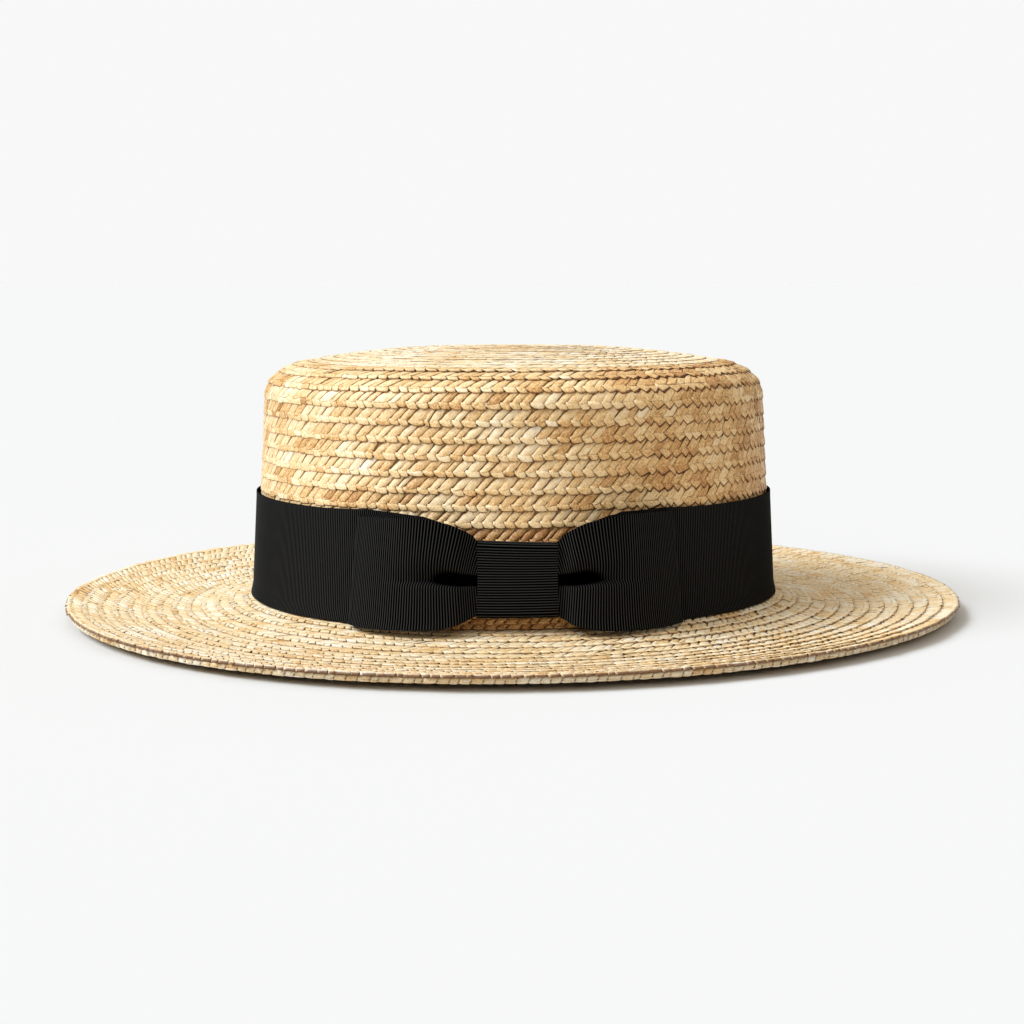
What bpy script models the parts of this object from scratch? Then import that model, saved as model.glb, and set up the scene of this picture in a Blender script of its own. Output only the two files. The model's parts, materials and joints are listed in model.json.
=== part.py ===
"""A straw boater hat at rest on its brim: crown, brim, doubled brim edge, ribbon band and flat bow.

Metres, +Z up. X runs along the head, Y across it, and the bow faces -Y. The origin is on the
surface that the hat rests on, under the middle of the crown.
"""

import math

import bmesh
import bpy

# Sizes of the straw, in metres. The plait is one flat braid, sewn row over row.
HEAD_LENGTH = 0.1994  # inside of the crown at its foot, along X
HEAD_WIDTH = 0.1666  # inside of the crown at its foot, along Y
NARROW_FRONT = 0.055  # how much less wide the +X end is, as a share of the width
STRAW_WALL = 0.0012  # from the inside to the low start of a row
ROW_LIP = 0.0007  # how far a row's lower edge stands over the next row
TIP_ROW = 0.0051  # what shows of a row on the flat tip
WALL_ROW = 0.00587  # and on the crown's side
BRIM_ROW = 0.0056  # and on the brim

CROWN_TOP = 0.1015  # top of the tip over the resting surface
TIP_RISE = 0.0055  # the tip is slightly domed, from its middle to the shoulder
SHOULDER_WIDTH = 0.0165  # the rounded turn from tip to side, inwards
SHOULDER_HEIGHT = 0.0125  # and downwards
SHOULDER_START = math.radians(12)  # the tip already falls this steeply where the shoulder starts
WALL_LEAN = math.radians(3.2)  # the side leans in towards the tip

BRIM_WIDTH = 0.0717  # from the crown's side to the brim's edge
BRIM_LIFT = 0.0042  # how high the brim's two edges stand over its lowest ring
EDGE_ROW_WIDTH = 0.0065  # second row of plait sewn under the brim's edge
EDGE_ROW_THICK = 0.001
EDGE_ROW_INSET = 0.0004

# Sizes of the ribbon.
RIBBON_WIDTH = 0.040
RIBBON_THICK = 0.001
BAND_CLEARANCE = 0.0007  # between the band's lower edge and the brim
BAND_FLARE = 0.0006  # the lower edge opens over the turn into the brim
FLARE_HEIGHT = 0.0045
BOW_OFFSET = 0.0018  # the bow's middle lies this far towards +X
LOOP_REACH = 0.0588  # from the bow's middle to the fold at a loop's end, along the band
LOOP_BULGE = 0.0062  # the loop's front layer stands this far off its back layer
LOOP_SLANT = 0.0014  # the fold is this much further out at its foot, and less at its top
LOOP_FOLD_RADIUS = 0.0012
VALLEY_DEPTH = 0.0036  # the crease that runs out from the knot along the loop's middle
VALLEY_SHARE = 0.30  # half the crease's height, as a share of half the ribbon
KNOT_WIDTH = 0.0275
KNOT_HEIGHT = 0.027
KNOT_CORNER = 0.0015
KNOT_DROP = 0.002  # the knot sits this far below the ribbon's middle, and draws the ribbon down
PINCH_MARGIN = 0.0008  # between the pinched ribbon and the knot's inside, top and bottom
PINCH_RUN = 0.0165  # the ribbon comes to its full width this far from the knot
LIFT_RUN = 0.011  # the ribbon comes down on to the crown this far from the knot
RISE_RUN = 0.006  # and a loop's front layer swells out over this run

GAP = 0.0003  # between pieces that touch

# The brim's underside from the crown outwards. out: share of BRIM_WIDTH, rise: share of BRIM_LIFT.
BRIM_SECTION = (
    {"out": 0.00, "rise": 1.00},
    {"out": 0.16, "rise": 0.45},
    {"out": 0.34, "rise": 0.00},
    {"out": 0.46, "rise": 0.00},
    {"out": 0.64, "rise": 0.14},
    {"out": 0.82, "rise": 0.48},
    {"out": 1.00, "rise": 1.00},
)

# The front layer of a loop, from its fold to the bow's middle. along: share of LOOP_REACH,
# bulge: share of LOOP_BULGE, valley: share of VALLEY_DEPTH.
LOOP_FRONT = (
    {"along": 0.93, "bulge": 0.42, "valley": 0.00},
    {"along": 0.82, "bulge": 0.72, "valley": 0.00},
    {"along": 0.69, "bulge": 0.94, "valley": 0.05},
    {"along": 0.56, "bulge": 1.00, "valley": 0.30},
    {"along": 0.45, "bulge": 0.94, "valley": 0.70},
    {"along": 0.36, "bulge": 0.74, "valley": 1.00},
    {"along": 0.29, "bulge": 0.42, "valley": 0.90},
)

TURN_STEPS = 48  # sides of the straw pieces
BAND_STEPS = 2 * TURN_STEPS
TIP_STEPS = 4
SHOULDER_STEPS = 5
ARC_STEPS = 24
SHARP_ANGLE = math.radians(35)
FOLD_TURNS = (-0.25, 0.0, 0.25)  # half turns at which a loop's fold is bent
LIFT_STEPS = (0.3, 0.6, 1.0)  # shares of LIFT_RUN at which a loop's back layer is bent
REST_STEPS = (0.33, 0.67, 1.0)  # and shares of the rest of it
LOOP_HEIGHTS = (-1.0, -0.62, -0.28, 0.0, 0.28, 0.62, 1.0)  # shares of half the ribbon's width
MERGE = 1e-6

# Places that follow from the sizes.
OVAL_CORE = (HEAD_LENGTH - HEAD_WIDTH) / 2  # every oval is this much longer than it is wide
SEAT_HEIGHT = BRIM_LIFT + STRAW_WALL  # top of the brim where the crown stands on it
FOOT_HEIGHT = SEAT_HEIGHT + GAP
WALL_TOP = CROWN_TOP - TIP_RISE - SHOULDER_HEIGHT
RIBBON_FOOT = SEAT_HEIGHT + BAND_CLEARANCE
RIBBON_MIDDLE = RIBBON_FOOT + RIBBON_WIDTH / 2
HALF_KNOT = KNOT_WIDTH / 2
PINCHED_WIDTH = KNOT_HEIGHT - 2 * RIBBON_THICK - 2 * PINCH_MARGIN

# Distances of each layer's middle from the low start of the rows on the crown's side.
UNDER_LAYER = ROW_LIP + GAP + RIBBON_THICK / 2
LAYER = RIBBON_THICK + GAP
BAND_AT_KNOT = UNDER_LAYER + LAYER
BACK_AT_KNOT = BAND_AT_KNOT + LAYER
FRONT_AT_KNOT = BACK_AT_KNOT + LAYER + GAP
KNOT_FRONT = FRONT_AT_KNOT + LAYER


def smooth(share):
    """0 to 1 with a soft start and end."""
    share = min(1.0, max(0.0, share))
    return share * share * (3 - 2 * share)


def mix(start, end, share):
    return start + (end - start) * share


def oval(radius, angle, height):
    """Point of the oval whose half length is radius; all the hat's ovals are offsets of each other."""
    across = (radius - OVAL_CORE) * (1 - NARROW_FRONT * math.cos(angle))
    return radius * math.cos(angle), across * math.sin(angle), height


def wall_radius(height):
    """Half length of the crown's side at a height, at the low start of its rows."""
    return HEAD_LENGTH / 2 + STRAW_WALL - (height - FOOT_HEIGHT) * math.tan(WALL_LEAN)


def on_crown(angle, out, height):
    """Point a distance out from the crown's side."""
    return oval(wall_radius(height) + out, angle, height)


def band_angle(along):
    """Angle of the oval that lies a distance along the band from the bow's middle."""
    angle = -math.pi / 2 + BOW_OFFSET / wall_radius(RIBBON_MIDDLE)
    tiny = 1e-4
    for _ in range(ARC_STEPS):
        before = on_crown(angle - tiny, BAND_AT_KNOT, RIBBON_MIDDLE)
        after = on_crown(angle + tiny, BAND_AT_KNOT, RIBBON_MIDDLE)
        angle += along / ARC_STEPS * 2 * tiny / math.dist(before, after)
    return angle


def ribbon_height(along, level):
    """Height of a line along the band or a loop, which the knot pinches; level is -1 to 1."""
    share = smooth((abs(along) - HALF_KNOT) / PINCH_RUN)
    middle = RIBBON_MIDDLE - mix(KNOT_DROP, 0.0, share)
    return middle + level * mix(PINCHED_WIDTH, RIBBON_WIDTH, share) / 2


def lowered(at_knot, along):
    """How far out a layer lies: over the knot's back at the bow's middle, on the crown elsewhere."""
    share = smooth((abs(along) - HALF_KNOT - GAP) / LIFT_RUN)
    return at_knot - LAYER * share


def flare(height):
    """How far the ribbon's lower edge opens outwards over the turn into the brim."""
    return BAND_FLARE * smooth((RIBBON_FOOT + FLARE_HEIGHT - height) / FLARE_HEIGHT)


def walk(points, distance):
    """Point and outward normal at a distance along an outline of (radius, height) points."""
    for (r0, z0), (r1, z1) in zip(points, points[1:]):
        length = math.hypot(r1 - r0, z1 - z0)
        if distance <= length or (r1, z1) == points[-1]:
            share = min(1.0, distance / length)
            normal = ((z0 - z1) / length, (r1 - r0) / length)
            return (mix(r0, r1, share), mix(z0, z1, share)), normal
        distance -= length


def outline_length(points):
    return sum(math.dist(a, b) for a, b in zip(points, points[1:]))


def offset(points, distance, out):
    (radius, height), normal = walk(points, distance)
    return radius + normal[0] * out, height + normal[1] * out


def rows(points, starts):
    """Section of lapped rows over an outline: each rises from its start to a lip over the next."""
    section = []
    for start, end in zip(starts, starts[1:]):
        section.append(offset(points, start, 0.0))
        section.append(offset(points, end, ROW_LIP))
    return section


def row_starts(length, pitches):
    """Distances where rows start; pitches holds (distance up to which it holds, row pitch)."""
    starts = [0.0]
    for limit, pitch in pitches:
        while starts[-1] + pitch <= min(limit, length):
            starts.append(starts[-1] + pitch)
    return starts


def turned(name, section, material):
    """Solid of an oval section: the section is turned into a round shape, then drawn to the oval."""
    mesh = bpy.data.meshes.new(name)
    form = bmesh.new()
    ring = [form.verts.new((radius, 0.0, height)) for radius, height in section]
    for start, end in zip(ring, ring[1:]):
        form.edges.new((start, end))
    form.to_mesh(mesh)
    form.free()
    guide = bpy.data.objects.new(name + "_turning", mesh)
    bpy.context.scene.collection.objects.link(guide)
    screw = guide.modifiers.new("turn", "SCREW")
    screw.axis = "Z"
    screw.steps = screw.render_steps = TURN_STEPS
    screw.use_merge_vertices = True
    screw.merge_threshold = MERGE
    bpy.context.view_layer.update()
    graph = bpy.context.evaluated_depsgraph_get()
    solid = bpy.data.meshes.new_from_object(guide.evaluated_get(graph))
    bpy.data.objects.remove(guide)
    bpy.data.meshes.remove(mesh)
    solid.name = name
    for vertex in solid.vertices:
        x, y, height = vertex.co
        vertex.co = oval(math.hypot(x, y), math.atan2(y, x), height)
    return finish(name, solid, material)


def sheet(name, columns, levels, place, closed, material):
    """Ribbon laid as a sheet: place(column, level) gives each point of its middle surface."""
    form = bmesh.new()
    bmesh.ops.create_grid(form, x_segments=columns, y_segments=len(levels) - 1, size=0.5)
    for vertex in form.verts:
        column = round((vertex.co.x + 0.5) * columns)
        level = round((vertex.co.y + 0.5) * (len(levels) - 1))
        vertex.co = place(column, levels[level])
    if closed:
        bmesh.ops.remove_doubles(form, verts=form.verts, dist=MERGE)
    bmesh.ops.recalc_face_normals(form, faces=form.faces)
    mesh = bpy.data.meshes.new(name)
    form.to_mesh(mesh)
    form.free()
    ribbon = finish(name, mesh, material)
    thick = ribbon.modifiers.new("ribbon", "SOLIDIFY")
    thick.thickness = RIBBON_THICK
    thick.offset = 0.0
    return ribbon


def finish(name, mesh, material):
    form = bmesh.new()
    form.from_mesh(mesh)
    bmesh.ops.remove_doubles(form, verts=form.verts, dist=MERGE)
    bmesh.ops.dissolve_degenerate(form, edges=form.edges, dist=MERGE)
    form.to_mesh(mesh)
    form.free()
    mesh.materials.append(material)
    mesh.shade_smooth()
    mesh.set_sharp_from_angle(angle=SHARP_ANGLE)
    piece = bpy.data.objects.new(name, mesh)
    bpy.data.collections["boater_hat"].objects.link(piece)
    return piece


def finish_material(name, colour, roughness):
    material = bpy.data.materials.new(name)
    material.use_nodes = True
    shader = material.node_tree.nodes["Principled BSDF"]
    shader.inputs["Base Color"].default_value = (*colour, 1.0)
    shader.inputs["Roughness"].default_value = roughness
    shader.inputs["Metallic"].default_value = 0.0
    return material


def crown_outline():
    """Outside of the crown from the middle of its tip to its foot, at the low start of its rows."""
    inner = wall_radius(WALL_TOP) - SHOULDER_WIDTH
    outline = []
    for step in range(TIP_STEPS):
        share = step / TIP_STEPS
        outline.append((mix(OVAL_CORE, inner, share), CROWN_TOP - TIP_RISE * share ** 2))
    for step in range(SHOULDER_STEPS + 1):
        turn = mix(SHOULDER_START, math.pi / 2, step / SHOULDER_STEPS)
        across = (math.sin(turn) - math.sin(SHOULDER_START)) / (1 - math.sin(SHOULDER_START))
        radius = inner + SHOULDER_WIDTH * across
        height = WALL_TOP + SHOULDER_HEIGHT * math.cos(turn) / math.cos(SHOULDER_START)
        outline.append((radius, height))
    outline.append((wall_radius(FOOT_HEIGHT), FOOT_HEIGHT))
    return outline


def inside_of(outline):
    """The same outline a wall's thickness further in."""
    inner = []
    travelled = 0.0
    for index, point in enumerate(outline):
        if index:
            travelled += math.dist(outline[index - 1], point)
        before = walk(outline, max(0.0, travelled - 1e-6))[1]
        after = walk(outline, travelled + 1e-6)[1]
        normal = ((before[0] + after[0]) / 2, (before[1] + after[1]) / 2)
        radius = point[0] - normal[0] * STRAW_WALL
        inner.append((radius, point[1] - normal[1] * STRAW_WALL))
    inner[0] = (OVAL_CORE, inner[0][1])
    inner[-1] = (HEAD_LENGTH / 2, FOOT_HEIGHT)
    return inner


def make_crown(straw):
    """Tip, shoulder and side of lapped rows; the wall is plain under the band, which hides it."""
    outline = crown_outline()
    length = outline_length(outline)
    tip = outline_length(outline[:TIP_STEPS + 1])
    hidden = (RIBBON_WIDTH - WALL_ROW) / math.cos(WALL_LEAN)
    starts = row_starts(length - hidden, ((tip, TIP_ROW), (length, WALL_ROW)))
    section = rows(outline, starts)
    section.append((wall_radius(FOOT_HEIGHT) + ROW_LIP, FOOT_HEIGHT))
    section += reversed(inside_of(outline))
    section[0] = (OVAL_CORE, CROWN_TOP)
    turned("crown", section, straw)


def brim_underside():
    start = HEAD_LENGTH / 2 + STRAW_WALL
    return [
        (start + row["out"] * BRIM_WIDTH, row["rise"] * BRIM_LIFT) for row in BRIM_SECTION
    ]


def make_brim(straw):
    """Flat oval ring of lapped rows that carries the crown on its inner edge."""
    under = brim_underside()
    top = [(radius, height + STRAW_WALL) for radius, height in under]
    length = outline_length(top)
    starts = row_starts(length, ((length, BRIM_ROW),))
    starts[-1] = length
    section = [(HEAD_LENGTH / 2, SEAT_HEIGHT)] + rows(top, starts)
    edge_radius = under[-1][0]
    section[-1] = (edge_radius, section[-1][1])
    section += [(radius, height) for radius, height in reversed(under)]
    section += [(HEAD_LENGTH / 2, BRIM_LIFT), (HEAD_LENGTH / 2, SEAT_HEIGHT)]
    turned("brim", section, straw)


def make_edge_row(straw):
    """Second row of plait that doubles the brim's edge from below."""
    under = brim_underside()
    length = outline_length(under)
    outer = length - EDGE_ROW_INSET
    inner = outer - EDGE_ROW_WIDTH
    section = [
        offset(under, inner, -GAP),
        offset(under, outer, -GAP),
        offset(under, outer, -GAP - EDGE_ROW_THICK),
        offset(under, inner, -GAP - EDGE_ROW_THICK),
        offset(under, inner, -GAP),
    ]
    turned("brim_edge_row", section, straw)


def make_band(ribbon):
    """Closed ribbon round the crown's foot, pinched and lifted where the knot goes round it."""
    girth = 0.0
    angles = [band_angle(0.0) + 2 * math.pi * step / BAND_STEPS for step in range(BAND_STEPS + 1)]
    points = [on_crown(angle, BAND_AT_KNOT, RIBBON_MIDDLE) for angle in angles]
    travelled = [0.0]
    for start, end in zip(points, points[1:]):
        girth += math.dist(start, end)
        travelled.append(girth)

    def place(column, level):
        along = min(travelled[column], girth - travelled[column])
        height = ribbon_height(along, level)
        return on_crown(angles[column], lowered(BAND_AT_KNOT, along) + flare(height), height)

    flare_level = -1.0 + 2 * FLARE_HEIGHT / RIBBON_WIDTH
    sheet("hat_band", BAND_STEPS, (-1.0, flare_level, 1.0), place, True, ribbon)


def loop_path():
    """Middle line of a loop seen from above: its back layer, the fold, and its front layer."""
    reach = LOOP_REACH - LOOP_FOLD_RADIUS
    start = GAP / 2
    back = [start, HALF_KNOT / 2, HALF_KNOT]
    back += [HALF_KNOT + LIFT_RUN * share for share in LIFT_STEPS]
    back += [mix(HALF_KNOT + LIFT_RUN, reach, share) for share in REST_STEPS]
    path = [(along, lowered(BACK_AT_KNOT, along), 0.0) for along in back]
    fold_out = lowered(BACK_AT_KNOT, reach) + LOOP_FOLD_RADIUS
    for turn in FOLD_TURNS:
        swing = math.pi * turn
        along = reach + LOOP_FOLD_RADIUS * math.cos(swing)
        path.append((along, fold_out + LOOP_FOLD_RADIUS * math.sin(swing), 0.0))
    for row in LOOP_FRONT:
        along = row["along"] * LOOP_REACH
        rest = lowered(BACK_AT_KNOT, along) + LAYER
        share = smooth((along - HALF_KNOT) / RISE_RUN)
        out = mix(FRONT_AT_KNOT, rest + row["bulge"] * LOOP_BULGE, share)
        path.append((along, out, row["valley"] * VALLEY_DEPTH * share))
    for along in (HALF_KNOT, HALF_KNOT / 2, start):
        path.append((along, FRONT_AT_KNOT, 0.0))
    return path


def make_loop(name, side, ribbon):
    """One flat loop of the bow, open at its top and its foot; side is +1 towards +X."""
    path = loop_path()

    def place(column, level):
        along, out, valley = path[column]
        crease = valley * math.exp(-((level / VALLEY_SHARE) ** 2))
        slant = LOOP_SLANT * level * smooth((along - HALF_KNOT) / (LOOP_REACH - HALF_KNOT))
        height = ribbon_height(along, level)
        return on_crown(band_angle(side * (along - slant)), out - crease + flare(height), height)

    sheet(name, len(path) - 1, LOOP_HEIGHTS, place, False, ribbon)


def knot_section():
    """Middle line of the knot across the bow, as (out, height) points of a rounded oblong."""
    half_height = (KNOT_HEIGHT - RIBBON_THICK) / 2 - KNOT_CORNER
    middle = (UNDER_LAYER + KNOT_FRONT) / 2
    half_out = (KNOT_FRONT - UNDER_LAYER) / 2 - KNOT_CORNER
    section = []
    for corner, (side, end) in enumerate(((1, 1), (-1, 1), (-1, -1), (1, -1))):
        for share in (0.0, 0.5, 1.0):
            turn = math.pi / 2 * (corner + share)
            out = middle + side * half_out + KNOT_CORNER * math.cos(turn)
            height = RIBBON_MIDDLE - KNOT_DROP + end * half_height + KNOT_CORNER * math.sin(turn)
            section.append((out, height))
    return section


def make_knot(ribbon):
    """Short ribbon wrapped round the middle of the bow and the band."""
    section = knot_section()
    levels = (-1.0, -0.5, 0.0, 0.5, 1.0)

    def place(column, level):
        out, height = section[column % len(section)]
        return on_crown(band_angle(level * HALF_KNOT), out, height)

    sheet("bow_knot", len(section), levels, place, True, ribbon)


def build():
    for old in list(bpy.data.objects):
        bpy.data.objects.remove(old)
    hat = bpy.data.collections.new("boater_hat")
    bpy.context.scene.collection.children.link(hat)
    straw = finish_material("natural_straw", (0.72, 0.50, 0.26), 0.55)
    ribbon = finish_material("black_grosgrain", (0.012, 0.012, 0.013), 0.75)
    make_crown(straw)
    make_brim(straw)
    make_edge_row(straw)
    make_band(ribbon)
    make_loop("bow_loop_left", -1, ribbon)
    make_loop("bow_loop_right", 1, ribbon)
    make_knot(ribbon)


build()
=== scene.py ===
import json
import math

import bpy
import numpy as np
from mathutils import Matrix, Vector

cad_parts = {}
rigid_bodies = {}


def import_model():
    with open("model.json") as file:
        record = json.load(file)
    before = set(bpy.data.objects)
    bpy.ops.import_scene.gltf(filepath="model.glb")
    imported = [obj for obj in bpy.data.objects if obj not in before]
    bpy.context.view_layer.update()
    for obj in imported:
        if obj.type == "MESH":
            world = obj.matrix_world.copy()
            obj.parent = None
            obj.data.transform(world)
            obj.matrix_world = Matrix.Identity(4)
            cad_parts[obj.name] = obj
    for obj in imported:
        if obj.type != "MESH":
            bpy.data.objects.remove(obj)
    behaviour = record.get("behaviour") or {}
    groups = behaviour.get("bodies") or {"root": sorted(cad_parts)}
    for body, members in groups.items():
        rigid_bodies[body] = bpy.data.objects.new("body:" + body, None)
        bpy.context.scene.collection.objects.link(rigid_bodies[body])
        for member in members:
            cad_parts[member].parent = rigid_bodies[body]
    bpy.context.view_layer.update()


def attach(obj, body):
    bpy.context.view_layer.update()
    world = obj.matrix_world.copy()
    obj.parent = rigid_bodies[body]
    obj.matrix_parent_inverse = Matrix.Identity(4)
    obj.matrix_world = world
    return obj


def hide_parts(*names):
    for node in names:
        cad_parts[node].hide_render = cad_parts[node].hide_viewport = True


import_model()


# The crown's wall. One plait of split wheat straw is sewn round and round from the middle of the
# tip, over the shoulder and down the side, each row lapped over the next like a tile. This piece
# is the sewn wall, with the laps as steps outside and inside, and its plait is laid on it below.
HEAD_LENGTH = 0.1994
HEAD_WIDTH = 0.1666
NARROW_FRONT = 0.055  # how much narrower the oval gets towards its +X end, as a share
STRAW_WALL = 0.0012
ROW_LIP = 0.0007  # how far the lower edge of a row stands off the next one
TIP_ROW = 0.0051
WALL_ROW = 0.00587
CROWN_TOP = 0.1015
TIP_RISE = 0.0055
SHOULDER_WIDTH = 0.0165
SHOULDER_HEIGHT = 0.0125
SHOULDER_START = math.radians(12)
WALL_LEAN = math.radians(3.2)
BRIM_LIFT = 0.0042  # how high the brim's two edges stand over its foot
GAP = 0.0003  # room between pieces
TIP_POINTS = 24
SHOULDER_POINTS = 28
SIDE_POINTS = 24
WALL_SINK = 0.00022  # the wall lies this far under the nominal face that the leaves stand on
WALL_LAP = 0.16  # how far above a lap of the plait the wall steps, as a share of a row
TIP_STEP = 0.6  # height of the wall's steps on the tip, as a share of a row's lip
SIDE_STEP = 0.45
WALL_STEPS = 128  # points round the wall

OVAL_CORE = (HEAD_LENGTH - HEAD_WIDTH) / 2
SEAT_HEIGHT = BRIM_LIFT + STRAW_WALL
FOOT_HEIGHT = SEAT_HEIGHT + GAP
WALL_TOP = CROWN_TOP - TIP_RISE - SHOULDER_HEIGHT


def smooth(share):
    share = np.clip(share, 0.0, 1.0)
    return share * share * (3 - 2 * share)


def wall_radius(height):
    """Half length of the crown's side at a height."""
    return HEAD_LENGTH / 2 + STRAW_WALL - (height - FOOT_HEIGHT) * math.tan(WALL_LEAN)


def draw_to_oval(radius, angle, height):
    """Points of the hat's ovals, from their half length, angle and height."""
    across = (radius - OVAL_CORE) * (1 - NARROW_FRONT * np.cos(angle))
    return np.stack([radius * np.cos(angle), across * np.sin(angle), height + 0 * angle], -1)


def turned_face(radii, heights):
    """A turned surface as a run along its outline, with the place and outward normal there."""
    radii, heights = np.array(radii), np.array(heights)
    run = np.concatenate([[0.0], np.cumsum(np.hypot(np.diff(radii), np.diff(heights)))])
    slope_r, slope_z = np.gradient(radii, run), np.gradient(heights, run)
    size = np.hypot(slope_r, slope_z)
    return {"run": run, "r": radii, "z": heights, "nr": -slope_z / size, "nz": slope_r / size}


def face_at(face, run):
    """Radius, height and outward normal at a run down a face."""
    return [np.interp(run, face["run"], face[key]) for key in ("r", "z", "nr", "nz")]


def on_face(face, angle, run, out):
    """Points at an angle, a run down the face and a distance out from it."""
    inside = np.clip(run, 0.0, face["run"][-1])
    radius, height, nr, nz = face_at(face, inside)
    past = run - inside
    return draw_to_oval(radius + nr * out + nz * past, angle, height + nz * out - nr * past)


def crown_outline():
    """Radii and heights of the crown from the middle of the tip to its foot."""
    inner = wall_radius(WALL_TOP) - SHOULDER_WIDTH
    share = np.linspace(0, 1, TIP_POINTS, endpoint=False)
    radii = list(OVAL_CORE + (inner - OVAL_CORE) * share)
    heights = list(CROWN_TOP - TIP_RISE * share ** 2)
    turn = np.linspace(SHOULDER_START, math.pi / 2, SHOULDER_POINTS)
    start = math.sin(SHOULDER_START)
    radii += list(inner + SHOULDER_WIDTH * (np.sin(turn) - start) / (1 - start))
    heights += list(WALL_TOP + SHOULDER_HEIGHT * np.cos(turn) / math.cos(SHOULDER_START))
    side = np.linspace(WALL_TOP, FOOT_HEIGHT, SIDE_POINTS)[1:]
    return radii + [wall_radius(z) for z in side], heights + list(side)


def row_starts(first, last, pitch):
    """Starts of the rows, and the end of the last one."""
    return list(np.linspace(first, last, max(1, round((last - first) / pitch)) + 1))


def lapped_rings(face, starts, out, lip=ROW_LIP):
    """Radius and height of lapped rows over a face: each row rises to a lip over the next."""
    rings = []
    for start, end in zip(starts, starts[1:]):
        for run, lift in ((start, 0.0), ((start + end) / 2, lip / 2), (end, lip)):
            radius, height, nr, nz = face_at(face, run)
            rings.append((radius + nr * (out + lift), height + nz * (out + lift)))
    return rings


def stepped_early(starts):
    """Row starts for the wall, its steps hidden under the plait's laps."""
    pitch = starts[-1] - starts[-2]
    return starts[:1] + [start - WALL_LAP * pitch for start in starts[1:-1]] + starts[-1:]


def select_none():
    for piece in bpy.data.objects:
        piece.select_set(False)


def drawn_out(name, rings):
    """Wall drawn out ring by ring from one circle, then brought to the hat's oval."""
    select_none()
    bpy.ops.mesh.primitive_circle_add(vertices=WALL_STEPS, radius=rings[0][0])
    piece = bpy.context.object
    piece.name = piece.data.name = name
    bpy.ops.object.mode_set(mode="EDIT")
    bpy.ops.mesh.select_all(action="SELECT")
    bpy.ops.transform.translate(value=(0, 0, rings[0][1]))
    for (radius, height), (next_radius, next_height) in zip(rings, rings[1:]):
        bpy.ops.mesh.extrude_region()
        share = next_radius / radius
        bpy.ops.transform.resize(value=(share, share, 1), center_override=(0, 0, 0))
        bpy.ops.transform.translate(value=(0, 0, next_height - height))
    bpy.ops.object.mode_set(mode="OBJECT")
    points = np.empty(len(piece.data.vertices) * 3)
    piece.data.vertices.foreach_get("co", points)
    points = points.reshape(-1, 3)
    angle = np.arctan2(points[:, 1], points[:, 0])
    points = draw_to_oval(np.hypot(points[:, 0], points[:, 1]), angle, points[:, 2])
    piece.data.vertices.foreach_set("co", points.ravel())
    bpy.ops.object.mode_set(mode="EDIT")
    bpy.ops.mesh.select_all(action="SELECT")
    bpy.ops.mesh.remove_doubles(threshold=1e-6)
    bpy.ops.mesh.dissolve_degenerate(threshold=1e-7)
    bpy.ops.mesh.select_all(action="SELECT")
    bpy.ops.mesh.normals_make_consistent(inside=False)
    bpy.ops.object.mode_set(mode="OBJECT")
    bpy.ops.object.shade_smooth_by_angle(angle=math.radians(35))
    return piece


def ramp(nodes, places):
    """Colour ramp with a stop for each (place, colour)."""
    node = nodes.new("ShaderNodeValToRGB")
    stops = node.color_ramp.elements
    while len(stops) > 1:
        stops.remove(stops[-1])
    stops[0].position, stops[0].color = places[0][0], (*places[0][1], 1)
    for place, colour in places[1:]:
        stops.new(place).color = (*colour, 1)
    return node


def shaded_straw(name, dark, light):
    """Straw painted dark brown, as painted shade where the wall shows in the gaps between the leaves and
    under the laps, with a fibrous grain.
    """
    finish = bpy.data.materials.new(name)
    finish.use_nodes = True
    nodes, links = finish.node_tree.nodes, finish.node_tree.links
    skin = nodes["Principled BSDF"]
    skin.inputs["Roughness"].default_value = 0.7
    place = nodes.new("ShaderNodeTexCoord")
    grain = nodes.new("ShaderNodeTexNoise")
    grain.inputs["Scale"].default_value = 900.0
    grain.inputs["Detail"].default_value = 3.0
    links.new(place.outputs["Object"], grain.inputs["Vector"])
    colours = ramp(nodes, ((0.3, dark), (0.7, light)))
    links.new(grain.outputs["Fac"], colours.inputs["Fac"])
    links.new(colours.outputs["Color"], skin.inputs["Base Color"])
    bump = nodes.new("ShaderNodeBump")
    bump.inputs["Strength"].default_value = 0.4
    bump.inputs["Distance"].default_value = 0.0003
    links.new(grain.outputs["Fac"], bump.inputs["Height"])
    links.new(bump.outputs["Normal"], skin.inputs["Normal"])
    return finish


# The wall's dark brown is painted shade for the gaps between the leaves and under the laps.
wall_painted_shade = shaded_straw("wall_painted_shade", (0.19, 0.088, 0.027), (0.36, 0.195, 0.068))
crown_face = turned_face(*crown_outline())
tip_end = crown_face["run"][TIP_POINTS]
tip_rows = row_starts(0.0, tip_end, TIP_ROW)
side_rows = row_starts(tip_end, crown_face["run"][-1], WALL_ROW)
outer_rings = lapped_rings(crown_face, tip_rows, -WALL_SINK, lip=ROW_LIP * TIP_STEP)
outer_rings += lapped_rings(crown_face, stepped_early(side_rows), -WALL_SINK, lip=ROW_LIP * SIDE_STEP)
inner_rings = lapped_rings(crown_face, tip_rows[:-1] + side_rows, -STRAW_WALL)
outer_rings[0] = (OVAL_CORE, outer_rings[0][1])
inner_rings[0] = (OVAL_CORE, inner_rings[0][1])
outer_rings[-1] = (outer_rings[-1][0], FOOT_HEIGHT)
inner_rings[-1] = (HEAD_LENGTH / 2, FOOT_HEIGHT)
crown_wall = drawn_out("crown_wall", outer_rings + inner_rings[::-1])
crown_wall.data.materials.append(wall_painted_shade)
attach(crown_wall, "root")
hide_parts("crown")


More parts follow.
